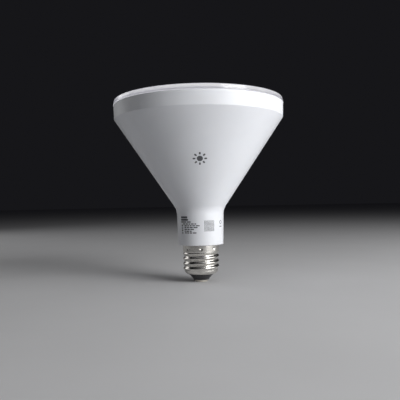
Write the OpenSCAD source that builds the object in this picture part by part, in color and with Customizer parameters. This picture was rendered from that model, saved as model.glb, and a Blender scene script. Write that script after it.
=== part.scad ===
// Smart reflector lamp with an Edison screw cap.
// The lamp stands on its centre contact: the contact's flat tip is at the origin and the lens faces +Z.
// The driver board stands in the lamp's middle on the plane y = 0, with its front towards -Y.

/* [Screw cap] */
// Height from the contact's tip to the shoulder under the neck
cap_h = 27; // [26.5:0.25:28]
// Diameter over the crests of the screw thread
thread_d = 26.2; // [26.05:0.05:26.45]
// Diameter at the roots of the screw thread
root_d = 24.2; // [24.15:0.05:24.35]
// Pitch of the screw thread
thread_pitch = 3.62; // [3.6:0.01:3.65]
// Diameter of the centre contact
contact_d = 9.8; // [9:0.1:10.4]

/* [Housing] */
// Diameter over the foot of the lens edge, the widest place of the lamp
face_d = 123; // [122:0.5:124]
// Height of the lens edge above the shoulder
body_h = 104; // [103:0.5:105]
// Height of the lens edge that shows around the face
lens_edge_h = 3.7; // [3.5:0.1:4]
// Height of the upright band under the lens edge
band_h = 9.6; // [9.2:0.1:10]
// Diameter of the neck at the shoulder
neck_d = 33; // [32.8:0.1:33.4]
// Height of the neck above the shoulder, up to where the cone begins
neck_h = 25.4; // [25:0.1:26]
// Radius of the hollow curve between neck and cone
neck_blend_r = 11; // [9:1:12]
// Radius of the bend between cone and band
band_blend_r = 1; // [0.8:0.1:1.4]
// Thickness of the housing's wall
wall = 2; // [1.9:0.05:2.1]

/* [Lens] */
// Rise of the lens at its middle above its edge
lens_crown = 0.8; // [0.5:0.1:1.2]
// Thickness of the lens
lens_t = 2; // [1.8:0.1:2.2]

/* [Light engine] */
// Diameter of the light board
led_board_d = 88; // [86:0.5:88.5]
// White emitters of each tone
white_count = 12; // [6:1:12]
// Emitters of each colour
colour_count = 6; // [3:1:6]

/* [Driver] */
// Width of the driver board in the neck
board_neck_w = 24.8; // [24.4:0.1:25]
// Width of the driver board above the neck
board_top_w = 38.4; // [37:0.1:38.6]
// Thickness of the driver board
board_t = 1.2; // [1:0.1:1.2]

/* [Hidden] */
$fn = 96;
eps = 0.01;
gap = 0.1;

// Heights of the outline
edge_z = cap_h + body_h;
rim_z = edge_z - lens_edge_h;
band_z = rim_z - band_h;
cone_z = cap_h + neck_h;

// Radii of the outline
face_r = face_d / 2;
edge_top_r = face_r - 0.5;
rim_r = face_r - 0.2;
band_r = face_r - 0.5;
neck_r = neck_d / 2;
neck_top_r = neck_r + 0.6;
rim_chamfer = 0.25;
shoulder_round = 0.5;

// Lean of each line of the outline from upright
neck_lean = atan((neck_top_r - neck_r) / neck_h);
cone_lean = atan((band_r - neck_top_r) / (band_z - cone_z));
band_lean = atan((rim_r - band_r) / band_h);

// Mouth of the housing, the rebate for the glue and the groove that the lens snaps into
mouth_r = face_r - 2.4;
bead_r = mouth_r + 1;
bead_h = 1;
groove_r = mouth_r + 0.6;
groove_z = rim_z - 4.1;
groove_h = 1.8;
groove_ramp = 0.3;

// Stub under the shoulder, inside the screw shell
stub_r = 11.5;
stub_bore_r = 10;
stub_z = 9;
floor_t = 2;
crimp_z = cap_h - 2.6;
crimp_depth = 0.6;
wire_slot = [3, 1.6, 8];

// Screw shell
shell_t = 0.5;
shell_z = 5.8;
shell_top = cap_h - gap;
shell_round = 2.5;
shell_lip_r = 9.2;
shell_bore_r = root_d / 2 - shell_t;
land_z = cap_h - 4.8;
thread_z = shell_z + 2;

// Centre contact
contact_r = contact_d / 2;
contact_t = 1.4;
contact_round = 1;
contact_pin_r = 1.2;
contact_pin_top = 12.5;

// Heat spreader and heat sink
spreader_z = band_z - 5.8;
spreader_t = 2.5;
spreader_r = 53.6;
spreader_screw_r = 50.5;
pad_t = 0.3;
sink_t = 1.5;
sink_z = cone_z + 6;
ledge_t = 3;
screw_hole_r = 1.3;

// Light board
led_board_t = 1.6;
led_z = spreader_z + spreader_t + pad_t + led_board_t;
led_screw_r = 40;
white_ring_r = 33.5;
colour_ring_r = 22;

// Driver case
case_t = 1;
case_r = 14;
case_top_r = 21;
case_z = cap_h + floor_t + 0.2;
case_flare_z = cone_z + 4.6;
case_flare_h = 13;
case_top = spreader_z - 10;
case_hole_r = 6;
lid_t = 1.4;

// Driver board
board_z = cap_h + 5;
board_top = case_top - 1.5;
board_step_z = cone_z + 7.6;
board_step_h = 12.6;
front = -board_t / 2;
back = board_t / 2;

// Radio board, which stands behind the driver board and looks out through the light board
radio_w = 16;
radio_t = 0.8;
radio_y = 3;
radio_z = board_top - 0.8;
radio_top = led_z + 6.8;
slot_clear = 0.3;

// Pins from the driver board to the light board
pin_count = 6;
pin_pitch = 2;
pin_side = 0.6;
pin_y = -3;
pin_top = led_z + 4;

// Places of the parts on the driver board, as [x, z]
fuse_at = [-10, board_z + 4.5];
varistor_at = [6.8, board_z + 6];
coil_at = [-5.8, board_z + 15.5];
film_at = [4.9, board_z + 16.5];
bridge_at = [0, board_z + 4.5];
bulk_z = board_z + 10.5;
transformer_at = [-6, board_top - 14.4];
output_x = 9;
output_z = [board_top - 20, board_top - 9];

// Drum of the inductor
coil_flange = 1;
coil_h = 5;
coil_drum_r = 1.6;

// Places of the four channels that dim the emitters
channel_x = [-13.5, -4.5, 4.5, 13.5];

// Pins between the driver board and the radio board
radio_pin_count = 5;
radio_pin_pitch = 2.5;
radio_pin_side = 0.5;
radio_pin_y = back + 1.2;

// Shield on the radio board
shield_z = case_top + lid_t + 0.8;
shield_size = [11.6, 1.8, 7];
shield_t = 0.2;

// Routes of the two mains wires, along their middles
wire_r = 0.6;
board_face = front - wire_r - gap / 2;
live_route = [
    [1.95, 0, 11], [1.95, -0.2, 15], [0, -1, 20], [-2.4, -1.6, 26], [-4.2, -1.8, 31],
    [-6, board_face, 33.5], [-6, board_face, 35]
];
neutral_route = [
    [10.8, 0, 15.5], [10.75, 0, 13], [9.3, 0, 11.3], [7.4, 0, 12.6], [6.4, 0, 17], [5.4, -0.8, 24],
    [4.2, -1.6, 30], [4, board_face, 33], [4, board_face, 33.8]
];

// Direction of a line that leans from upright, and its outward normal
function along(lean) = [sin(lean), cos(lean)];
function outward(lean) = [cos(lean), -sin(lean)];

// Points of a round bend at a corner, from a line of one lean to a line of another
function bend(corner, lean_a, lean_b, r, steps) =
    let (
        turn = sign(lean_b - lean_a),
        run = r * tan(abs(lean_b - lean_a) / 2),
        centre = corner - run * along(lean_a) + turn * r * outward(lean_a)
    )
    [for (i = [0:steps]) centre - turn * r * outward(lean_a + (lean_b - lean_a) * i / steps)];

// Where a corner of the outline moves to when both its lines move inward by t
function inset_corner(corner, lean_a, lean_b, t) =
    corner - t * (outward(lean_a) + outward(lean_b)) / (1 + cos(lean_b - lean_a));

// The cone's line moved inward by t: its radius at a height, and its height at a radius
function cone_r(z, t) = neck_top_r + (z - cone_z) * tan(cone_lean) - t / cos(cone_lean);
function cone_height(r, t) = cone_z + (r + t / cos(cone_lean) - neck_top_r) / tan(cone_lean);

// Points around an arc, from angle a to angle b
function arc(centre, r, a, b, steps) =
    [for (i = [0:steps]) centre + r * [cos(a + (b - a) * i / steps), sin(a + (b - a) * i / steps)]];

function reversed(list) = [for (i = [len(list) - 1:-1:0]) list[i]];

// Smooth step from 0 to 1 as x goes from a to b
function ease(x, a, b) = let (t = min(max((x - a) / (b - a), 0), 1)) t * t * (3 - 2 * t);

// A flat ring between two radii, standing on height z
module ring(inner_r, outer_r, z, h) {
    translate([0, 0, z]) difference() {
        cylinder(r = outer_r, h = h);
        translate([0, 0, -1]) cylinder(r = inner_r, h = h + 2);
    }
}

// Copies around the axis at a radius, the first at an angle
module around(count, r, first = 0) {
    for (i = [0:count - 1]) rotate(first + i * 360 / count) translate([r, 0, 0]) children();
}

// A rectangle with round corners
module round_rect(w, h, r) {
    square([w - 2 * r, h], center = true);
    square([w, h - 2 * r], center = true);
    for (x = [-1, 1]) for (y = [-1, 1])
        translate([x * (w / 2 - r), y * (h / 2 - r)]) circle(r = r);
}

// A pan-head screw with a cross recess, its head standing on the plane z = 0
module pan_screw(head_r, head_h, shank_r, length) {
    difference() {
        union() {
            rotate_extrude() polygon([
                [0, 0], [head_r, 0], [head_r, head_h * 0.45], [head_r * 0.82, head_h * 0.85],
                [head_r * 0.55, head_h], [0, head_h]
            ]);
            translate([0, 0, -length]) cylinder(r = shank_r, h = length + eps);
        }
        for (a = [0, 90]) rotate(a) translate([-head_r * 0.6, -head_r * 0.12, head_h * 0.4])
            cube([head_r * 1.2, head_r * 0.24, head_h]);
    }
}

// A box on a face of the driver board, centred in x and z: side is -1 for the front and 1 for the back
module on_board(x, z, size, side) {
    y = side < 0 ? front - size[1] : back;
    translate([x - size[0] / 2, y, z - size[2] / 2]) cube(size);
}

// A point on a smooth curve between b and c, at t from 0 to 1
function between(a, b, c, d, t) =
    (2 * b + (c - a) * t + (2 * a - 5 * b + 4 * c - d) * t * t + (3 * b - a - 3 * c + d) * t * t * t) / 2;

// A smooth curve through points, with steps parts between each two of them
function curve(p, steps) = concat(
    [for (i = [0:len(p) - 2]) for (s = [0:steps - 1])
        between(p[max(i - 1, 0)], p[i], p[i + 1], p[min(i + 2, len(p) - 1)], s / steps)],
    [p[len(p) - 1]]
);

// Rings of points around a curve, and the closed tube that they make
function unit(v) = v / norm(v);
function heading(p, i) = unit(p[min(i + 1, len(p) - 1)] - p[max(i - 1, 0)]);
function tube_points(p, r, sides) = [
    for (i = [0:len(p) - 1])
    let (
        d = heading(p, i),
        u = unit(cross(d, [0, 1, 0.001])),
        v = cross(d, u)
    )
    for (k = [0:sides - 1]) p[i] + r * (cos(360 * k / sides) * u + sin(360 * k / sides) * v)
];
module tube(p, r, sides = 8) {
    last = len(p) - 1;
    polyhedron(
        points = tube_points(p, r, sides),
        faces = concat(
            [[for (k = [0:sides - 1]) k], [for (k = [0:sides - 1]) last * sides + sides - 1 - k]],
            [for (i = [0:last - 1]) for (k = [0:sides - 1])
                let (a = i * sides + k, b = i * sides + (k + 1) % sides)
                [a, b + sides, b]],
            [for (i = [0:last - 1]) for (k = [0:sides - 1])
                let (a = i * sides + k, b = i * sides + (k + 1) % sides)
                [a, a + sides, b + sides]]
        )
    );
}

// ---- Screw cap ----

module centre_contact() {
    color("gold") union() {
        rotate_extrude() polygon(concat(
            [[0, 0]],
            arc([contact_r - contact_round, contact_round], contact_round, -90, 0, 8),
            [[contact_r, contact_t], [0, contact_t]]
        ));
        translate([0, 0, contact_t - eps])
            cylinder(r = contact_pin_r, h = contact_pin_top - contact_t + eps);
    }
}

module cap_insulator() {
    lip_r = shell_lip_r - gap;
    inside = arc([root_d / 2 - shell_round, shell_z + shell_round], shell_round - shell_t - gap, -90, 0, 6);
    top = stub_z - gap;
    bore_r = stub_bore_r - 0.4;
    color("#202020") difference() {
        rotate_extrude() polygon(concat(
            [[0, contact_t], [contact_r + 0.5, contact_t], [contact_r + 0.9, contact_t + 0.4],
                [lip_r, shell_z - 0.3], [lip_r, inside[0][1]]],
            inside,
            [[shell_bore_r - gap, top], [bore_r, top], [bore_r, top + 1.2], [0, top + 1.2]]
        ));
        translate([0, 0, -1]) cylinder(r = contact_pin_r + 0.02, h = stub_z + 4);
    }
}

// Radius of the shell's outside at height z and angle a: round end, screw thread, then a plain land
function shell_r(z, a) =
    let (
        root = root_d / 2,
        low = shell_round - min(z - shell_z, shell_round),
        crest = thread_d / 2 - root,
        wave = 0.5 - 0.5 * cos(360 * (z - shell_z) / thread_pitch - a),
        start = ease(z, thread_z, thread_z + 2),
        land = ease(z, land_z - 1.2, land_z)
    )
    root - shell_round + sqrt(shell_round * shell_round - low * low)
        + crest * start * (wave * (1 - land) + land);

module shell_outside(sides, rows) {
    step = (shell_top - shell_z) / rows;
    polyhedron(
        points = [for (i = [0:rows]) for (k = [0:sides - 1])
            let (z = shell_z + i * step, a = 360 * k / sides, r = shell_r(z, a))
            [r * cos(a), r * sin(a), z]],
        faces = concat(
            [[for (k = [0:sides - 1]) k], [for (k = [0:sides - 1]) (rows + 1) * sides - 1 - k]],
            [for (i = [0:rows - 1]) for (k = [0:sides - 1])
                let (p = i * sides + k, q = i * sides + (k + 1) % sides)
                [p, p + sides, q + sides]],
            [for (i = [0:rows - 1]) for (k = [0:sides - 1])
                let (p = i * sides + k, q = i * sides + (k + 1) % sides)
                [p, q + sides, q]]
        )
    );
}

module screw_shell() {
    bend_r = shell_round - shell_t;
    centre = [root_d / 2 - shell_round, shell_z + shell_round];
    color("silver") difference() {
        shell_outside(48, 42);
        rotate_extrude() polygon(concat(
            [[0, shell_z - 1], [shell_lip_r, shell_z - 1], [shell_lip_r, centre[1] - bend_r]],
            arc(centre, bend_r, -90, 0, 6),
            [[shell_bore_r, cap_h + 1], [0, cap_h + 1]]
        ));
    }
}

// ---- Housing ----

module housing() {
    corner_low = [neck_top_r, cone_z];
    corner_high = [band_r, band_z];
    inner_low = inset_corner(corner_low, neck_lean, cone_lean, wall);
    crimp_r = stub_r - crimp_depth;
    color("white") difference() {
        rotate_extrude() polygon(concat(
            [[stub_bore_r, stub_z], [stub_r, stub_z], [stub_r, crimp_z - 1], [crimp_r, crimp_z - 0.5],
                [crimp_r, crimp_z + 0.5], [stub_r, crimp_z + 1], [stub_r, cap_h]],
            arc([neck_r - shoulder_round, cap_h + shoulder_round], shoulder_round, -90, 0, 6),
            bend(corner_low, neck_lean, cone_lean, neck_blend_r, 14),
            bend(corner_high, cone_lean, band_lean, band_blend_r, 8),
            [[rim_r, rim_z - rim_chamfer], [rim_r - rim_chamfer, rim_z], [bead_r, rim_z],
                [bead_r, rim_z - bead_h], [mouth_r, rim_z - bead_h], [mouth_r, groove_z + groove_h / 2],
                [groove_r, groove_z + groove_h / 2 - groove_ramp],
                [groove_r, groove_z - groove_h / 2 + groove_ramp],
                [mouth_r, groove_z - groove_h / 2], [mouth_r, cone_height(mouth_r, wall)]],
            reversed(bend(inner_low, neck_lean, cone_lean, neck_blend_r + wall, 14)),
            [[neck_r - wall / cos(neck_lean), cap_h + floor_t], [stub_bore_r, cap_h + floor_t]]
        ));
        // Slot in the stub for the bared end of the neutral wire
        translate([stub_bore_r - 1, -wire_slot[1] / 2, stub_z - 1]) cube(wire_slot);
    }
}

// ---- Lens ----

module diffuser_lens() {
    crown_r = (face_r * face_r + lens_crown * lens_crown) / (2 * lens_crown);
    crown_z = edge_z + lens_crown - crown_r;
    edge_r = 0.8;
    skirt_t = 1.5;
    skirt_r = mouth_r - 0.2;
    skirt_in_r = skirt_r - skirt_t;
    skirt_z = rim_z - 4.6;
    tab_h = 1;
    tab_out = 0.45;
    tab_angle = 12;
    outer_a = asin((edge_top_r - edge_r) / crown_r);
    inner_a = asin((skirt_in_r - 1) / (crown_r - lens_t));
    color("white") union() {
        rotate_extrude() polygon(concat(
            [for (i = [0:11]) crown_r * [sin(outer_a * i / 12), cos(outer_a * i / 12)] + [0, crown_z]],
            arc([edge_top_r - edge_r, edge_z - edge_r], edge_r, 89, 11, 8),
            [[face_r, rim_z + 0.3], [face_r - 0.3, rim_z], [skirt_r, rim_z], [skirt_r, skirt_z],
                [skirt_in_r, skirt_z], [skirt_in_r, edge_z - lens_t - 1]],
            [for (i = [12:-1:0])
                (crown_r - lens_t) * [sin(inner_a * i / 12), cos(inner_a * i / 12)] + [0, crown_z]]
        ));
        // Tabs that snap into the housing's groove
        for (i = [0:5]) rotate(60 * i + 30 - tab_angle / 2)
            rotate_extrude(angle = tab_angle) translate([skirt_r - skirt_t / 2, groove_z - tab_h / 2])
                square([tab_out + skirt_t / 2, tab_h]);
    }
}

module lens_glue_bead() {
    color("gainsboro") ring(mouth_r + 0.06, bead_r - gap, rim_z - bead_h + 0.05, bead_h - gap);
}

// ---- Light engine ----

module heat_sink() {
    t_out = wall + gap;
    t_in = t_out + sink_t;
    ledge_z = spreader_z - ledge_t;
    ledge_r = spreader_screw_r - 3.5;
    color("lightgray") difference() {
        rotate_extrude() polygon([
            [cone_r(sink_z, t_out), sink_z], [cone_r(spreader_z, t_out), spreader_z],
            [ledge_r, spreader_z], [ledge_r, ledge_z],
            [cone_r(ledge_z, t_in), ledge_z], [cone_r(sink_z, t_in), sink_z]
        ]);
        around(3, spreader_screw_r, 90) translate([0, 0, spreader_z - 4])
            cylinder(r = screw_hole_r, h = 5);
    }
}

// Openings through the middle of the spreader, pad and light board, for the radio board and the pins
module middle_openings(z, h) {
    translate([-radio_w / 2 - slot_clear, radio_y - slot_clear, z])
        cube([radio_w + 2 * slot_clear, radio_t + 2 * slot_clear, h]);
    translate([-pin_count * pin_pitch / 2, pin_y - 0.9, z]) cube([pin_count * pin_pitch, 1.8, h]);
}

module heat_spreader() {
    color("silver") difference() {
        translate([0, 0, spreader_z]) cylinder(r = spreader_r, h = spreader_t);
        around(3, spreader_screw_r, 90) translate([0, 0, spreader_z - 1]) cylinder(r = 1.7, h = 5);
        around(3, led_screw_r, 30) translate([0, 0, spreader_z - 1]) cylinder(r = screw_hole_r, h = 5);
        middle_openings(spreader_z - 1, 5);
    }
}

module spreader_screws() {
    color("darkgray") around(3, spreader_screw_r, 90) translate([0, 0, spreader_z + spreader_t])
        pan_screw(2.7, 1.8, screw_hole_r - 0.05, 6);
}

module thermal_pad() {
    color("lightblue") difference() {
        translate([0, 0, spreader_z + spreader_t]) cylinder(r = led_board_d / 2 - 0.5, h = pad_t);
        around(3, led_screw_r, 30) translate([0, 0, spreader_z]) cylinder(r = 1.9, h = 5);
        middle_openings(spreader_z, 5);
    }
}

module led_board() {
    color("white") difference() {
        translate([0, 0, led_z - led_board_t]) cylinder(r = led_board_d / 2, h = led_board_t);
        around(3, led_screw_r, 30) translate([0, 0, spreader_z]) cylinder(r = 1.7, h = 8);
        middle_openings(spreader_z, 8);
    }
}

module led_board_screws() {
    color("darkgray") around(3, led_screw_r, 30) translate([0, 0, led_z])
        pan_screw(2.5, 1.6, screw_hole_r - 0.05, led_board_t + pad_t + spreader_t - 0.3);
}

// A white emitter: a moulded body with a round phosphor window
module white_emitter() {
    translate([-1.4, -1.75, 0]) cube([2.8, 3.5, 0.7]);
    translate([0, 0, 0.6]) cylinder(r = 1.15, h = 0.25);
}

// A colour emitter: a square base with a clear dome
module colour_emitter() {
    translate([-1.75, -1.75, 0]) cube([3.5, 3.5, 0.6]);
    translate([0, 0, 0.5]) intersection() {
        sphere(r = 1.5);
        cylinder(r = 2, h = 2);
    }
}

module white_leds(first) {
    around(white_count, white_ring_r, first) translate([0, 0, led_z]) white_emitter();
}

module colour_leds(index) {
    around(colour_count, colour_ring_r, index * 120 / colour_count)
        translate([0, 0, led_z]) colour_emitter();
}

module warm_white_leds() {
    color("khaki") white_leds(0);
}

module cool_white_leds() {
    color("lightyellow") white_leds(180 / white_count);
}

module red_leds() {
    color("tomato") colour_leds(0);
}

module green_leds() {
    color("palegreen") colour_leds(1);
}

module blue_leds() {
    color("lightskyblue") colour_leds(2);
}

// One child at each pin's place along x
module at_pins(count, pitch) {
    for (i = [0:count - 1]) translate([(i - (count - 1) / 2) * pitch, 0, 0]) children();
}

module led_socket() {
    w = pin_count * pin_pitch + 2;
    hole = pin_side + gap;
    color("#202020") difference() {
        translate([-w / 2, pin_y - 2, led_z]) cube([w, 4, 4.5]);
        at_pins(pin_count, pin_pitch) translate([-hole / 2, pin_y - hole / 2, led_z - 1])
            cube([hole, hole, 8]);
    }
}

module reflector() {
    foot_r = led_board_d / 2 + 0.4;
    foot_z = spreader_z + spreader_t;
    foot_w = 1.6;
    t = 0.9;
    top_r = mouth_r - 2;
    top_z = edge_z - lens_t - 1.2;
    color("white") rotate_extrude() polygon([
        [foot_r, foot_z], [foot_r + foot_w, foot_z], [foot_r + foot_w, foot_z + 0.8], [top_r, top_z - 1.4],
        [top_r, top_z], [top_r - t, top_z], [top_r - t - 0.3, top_z - 1], [foot_r, foot_z + 1.2 + t]
    ]);
}

// ---- Driver case ----

// Points of the case's profile, moved inward by t, from height z upwards
function case_line(t, z) = [
    [case_r - t, z], [case_r - t, case_flare_z], [case_top_r - t, case_flare_z + case_flare_h],
    [case_top_r - t, case_top]
];

module driver_case() {
    rail = [1.2, 0.8, 20];
    rail_x = 11.9;
    color("ivory") union() {
        rotate_extrude() polygon(concat(
            [[case_hole_r, case_z]], case_line(0, case_z),
            reversed(case_line(case_t, case_z + case_t)), [[case_hole_r, case_z + case_t]]
        ));
        // Rails that hold the driver board's edges in the neck
        for (x = [-1, 1]) for (y = [front - gap - rail[1], back + gap])
            translate([x * rail_x - rail[0] / 2, y, case_z + case_t - eps]) cube(rail);
    }
}

module driver_case_lid() {
    collar_h = 1.2;
    color("ivory") difference() {
        union() {
            translate([0, 0, case_top]) cylinder(r = case_top_r, h = lid_t);
            ring(case_top_r - case_t - 1.1, case_top_r - case_t - gap, case_top - collar_h, collar_h + gap);
        }
        middle_openings(case_top - 2, 5);
    }
}

// ---- Driver board and what it carries ----

module driver_board() {
    a = board_neck_w / 2;
    b = board_top_w / 2;
    step_top = board_step_z + board_step_h;
    color("darkgreen") translate([0, back, 0]) rotate([90, 0, 0]) linear_extrude(board_t) difference() {
        polygon([
            [-a, board_z], [a, board_z], [a, board_step_z], [b, step_top], [b, board_top],
            [-b, board_top], [-b, step_top], [-a, board_step_z]
        ]);
        // Slot that keeps the mains side apart from the low-voltage side
        translate([-14, board_top - 25.5]) square([12, 1.2]);
    }
}

module fuse_resistor() {
    color("seagreen") translate([fuse_at[0], front - 1.7, fuse_at[1]]) rotate([0, 90, 0]) {
        cylinder(r = 1.2, h = 7);
        for (x = [0, 5.6]) translate([0, 0, x]) cylinder(r = 1.5, h = 1.4);
    }
}

module varistor() {
    color("royalblue") translate([varistor_at[0], front - 0.3, varistor_at[1]]) rotate([90, 0, 0])
        rotate_extrude() polygon([[0, 0], [3.4, 0], [3.9, 0.6], [3.9, 2.4], [3.4, 3], [0, 3]]);
}

module inductor_core() {
    color("#3a3a3a") translate([coil_at[0], front, coil_at[1]]) rotate([90, 0, 0]) {
        cylinder(r = 3.6, h = coil_flange);
        translate([0, 0, coil_flange - eps]) cylinder(r = coil_drum_r, h = coil_h + 2 * eps);
        translate([0, 0, coil_flange + coil_h]) cylinder(r = 3.6, h = coil_flange);
    }
}

module inductor_coil() {
    turns = 11;
    low = coil_flange + 0.05;
    span = coil_h - gap;
    color("peru") translate([coil_at[0], front, coil_at[1]]) rotate([90, 0, 0]) rotate_extrude()
        polygon(concat(
            [[coil_drum_r + 0.05, low], [coil_drum_r + 0.05, low + span]],
            [for (i = [2 * turns:-1:0]) [3 + 0.2 * (i % 2), low + span * i / (2 * turns)]]
        ));
}

module film_capacitor() {
    size = [9.6, 5.4, 8.4];
    color("gold") translate([film_at[0], front, film_at[1]]) rotate([90, 0, 0]) linear_extrude(size[1])
        round_rect(size[0], size[2], 0.8);
}

module bridge_rectifier() {
    color("#222222") {
        on_board(bridge_at[0], bridge_at[1], [5, 2.2, 4], 1);
        for (x = [-1.6, 1.6]) for (z = [-2.5, 2.5])
            on_board(bridge_at[0] + x, bridge_at[1] + z, [0.8, 0.5, 1], 1);
    }
}

// A can capacitor standing on the plane z = 0, with the rolled groove above its base
module can(r, h) {
    rotate_extrude() polygon([
        [0, 0], [r - 0.3, 0], [r, 0.3], [r, 1.4], [r - 0.35, 1.8], [r, 2.2],
        [r, h - 0.4], [r - 0.4, h], [0, h]
    ]);
}

module bulk_capacitors() {
    r = 4.2;
    y = back + r + 0.4;
    lead_r = 0.3;
    lead_z = bulk_z - 2;
    color("midnightblue") for (x = [-4.9, 4.9]) {
        translate([x, y, bulk_z]) can(r, 16);
        for (s = [-1.2, 1.2]) translate([x + s, y, lead_z]) {
            cylinder(r = lead_r, h = 2 + eps);
            sphere(r = lead_r);
            rotate([90, 0, 0]) cylinder(r = lead_r, h = y - back);
        }
    }
}

// Places its child at the transformer's middle
module at_transformer() {
    translate([transformer_at[0], front - 6.4, transformer_at[1]]) children();
}

module transformer_core() {
    color("#303030") at_transformer() difference() {
        cube([16, 4, 15], center = true);
        for (x = [-1, 1]) translate([x * 4.15, 0, 0]) cube([3.7, 5, 10.6], center = true);
    }
}

module transformer_bobbin() {
    flange = 0.8;
    flange_z = [-5.2, 5.2 - flange];
    color("wheat") at_transformer() difference() {
        union() {
            for (z = flange_z) translate([-5.9, -6, z]) cube([11.8, 12.4, flange]);
            translate([-2.85, -2.6, -4.5]) cube([5.7, 5.2, 9]);
        }
        translate([-2.35, -2.05, -6]) cube([4.7, 4.1, 12]);
    }
}

module transformer_winding() {
    color("orange") at_transformer() translate([0, 0, -4.3]) linear_extrude(8.6) difference() {
        round_rect(11.4, 10.4, 1.8);
        square([5.8, 5.3], center = true);
    }
}

module output_capacitors() {
    color("#303050") for (z = output_z) translate([output_x, front, z]) rotate([90, 0, 0]) can(3.9, 9);
}

module channel_inductors() {
    color("#404040") for (x = channel_x) on_board(x, board_top - 21.5, [6, 3, 6], 1);
}

// A chip with four legs on each side
module chip(x, z, side) {
    on_board(x, z, [4, 1.5, 5], side);
    for (s = [-2.5, 2.5]) for (k = [-1.5:1:1.5]) on_board(x + s, z + k * 1.2, [1, 0.25, 0.4], side);
}

module driver_chips() {
    color("#1c1c1c") {
        for (x = channel_x) chip(x, board_top - 12.5, 1);
        chip(4, board_step_z + 6, -1);
    }
}

module chip_passives() {
    color("tan") {
        for (i = [-4:4]) on_board(4 * i, board_top - 6.4, [1.6, 0.6, 0.8], 1);
        for (i = [-2.5:2.5]) on_board(5 * i, board_top - 16.6, [0.8, 0.6, 1.6], 1);
        for (i = [0:3]) on_board(10.6, board_step_z + 2.5 * i, [1.6, 0.6, 0.8], -1);
    }
}

module solder_joints() {
    pairs = [
        [fuse_at - [0.2, 0], fuse_at + [6.4, 0]],
        [varistor_at - [2.5, 0], varistor_at + [2.5, 0]],
        [coil_at - [3.2, 0], coil_at + [3.4, 0]],
        [film_at - [3.7, 0], film_at + [3.7, 0]],
        [transformer_at + [-3, -7], transformer_at + [6, -7]],
        [transformer_at + [-5, 9.6], transformer_at + [-2.5, 9.6]],
        [[output_x, output_z[0] - 1.25], [output_x, output_z[0] + 1.25]],
        [[output_x, output_z[1] - 1.25], [output_x, output_z[1] + 1.25]]
    ];
    color("silver") for (pair = pairs) for (p = pair)
        translate([p[0], back, p[1]]) rotate([-90, 0, 0]) cylinder(r1 = 0.9, r2 = 0.3, h = 0.9);
}

module led_header() {
    w = pin_count * pin_pitch;
    hole = pin_side + gap;
    color("#202020") difference() {
        translate([-w / 2, pin_y - 1.1, board_top - 1.5]) cube([w, front - pin_y + 1.1, 2.4]);
        at_pins(pin_count, pin_pitch) translate([-hole / 2, pin_y - hole / 2, board_top - 2])
            cube([hole, hole, 4]);
    }
}

module led_header_pins() {
    low = board_top - 3;
    color("gold") at_pins(pin_count, pin_pitch) translate([-pin_side / 2, pin_y - pin_side / 2, low]) {
        cube([pin_side, pin_side, pin_top - low]);
        cube([pin_side, front - pin_y + pin_side / 2, pin_side]);
    }
}

// ---- Radio ----

module radio_header() {
    hole = radio_pin_side + gap;
    color("#202020") difference() {
        translate([-6.5, back, board_top - 4]) cube([13, radio_y - back, 2.4]);
        at_pins(radio_pin_count, radio_pin_pitch)
            translate([-hole / 2, radio_pin_y - hole / 2, board_top - 5]) cube([hole, hole, 4]);
    }
}

module radio_header_pins() {
    low = board_top - 3.8;
    high = board_top + 0.9;
    s = radio_pin_side;
    color("gold") at_pins(radio_pin_count, radio_pin_pitch) translate([-s / 2, radio_pin_y - s / 2, 0]) {
        translate([0, 0, low]) cube([s, s, high - low]);
        translate([0, 0, high - s]) cube([s, radio_y - radio_pin_y + s / 2, s]);
    }
}

module radio_board() {
    color("navy") translate([-radio_w / 2, radio_y, radio_z]) cube([radio_w, radio_t, radio_top - radio_z]);
}

module radio_shield() {
    color("silver") difference() {
        translate([-shield_size[0] / 2, radio_y + radio_t, shield_z]) cube(shield_size);
        translate([-shield_size[0] / 2 + shield_t, radio_y + radio_t - shield_t, shield_z + shield_t])
            cube(shield_size - [2 * shield_t, 0, 2 * shield_t]);
    }
}

module radio_chips() {
    color("#1c1c1c") translate([0, radio_y + radio_t, shield_z]) {
        translate([-4.6, 0, 1]) cube([5, 0.9, 5]);
        translate([1.4, 0, 3.2]) cube([3, 0.7, 2.8]);
        translate([1.8, 0, 1]) cube([2, 0.6, 1.4]);
    }
}

module antenna() {
    // A flat trace that folds back and forth across the top of the radio board
    trace = 0.5;
    t = 0.1;
    step = 2;
    high = 5.2;
    color("goldenrod") translate([-6.25, radio_y - t, led_z + 0.8]) {
        for (i = [0:6]) translate([i * step, 0, 0]) cube([trace, t, high]);
        for (i = [0:5]) translate([i * step, 0, i % 2 == 0 ? high - trace : 0])
            cube([step + trace, t, trace]);
    }
}

// ---- Wires ----

module live_wire() {
    color("crimson") tube(curve(live_route, 4), wire_r);
}

module neutral_wire() {
    color("black") tube(curve(neutral_route, 4), wire_r);
}

centre_contact();
cap_insulator();
screw_shell();
housing();
heat_sink();
heat_spreader();
spreader_screws();
thermal_pad();
led_board();
led_board_screws();
warm_white_leds();
cool_white_leds();
red_leds();
green_leds();
blue_leds();
led_socket();
reflector();
lens_glue_bead();
diffuser_lens();
driver_case();
driver_case_lid();
driver_board();
fuse_resistor();
varistor();
inductor_core();
inductor_coil();
film_capacitor();
bridge_rectifier();
bulk_capacitors();
transformer_core();
transformer_bobbin();
transformer_winding();
output_capacitors();
channel_inductors();
driver_chips();
chip_passives();
solder_joints();
led_header();
led_header_pins();
radio_header();
radio_header_pins();
radio_board();
radio_chips();
radio_shield();
antenna();
live_wire();
neutral_wire();
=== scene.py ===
import math
import random

import bmesh
import bpy
from mathutils import Matrix, Vector


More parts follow.
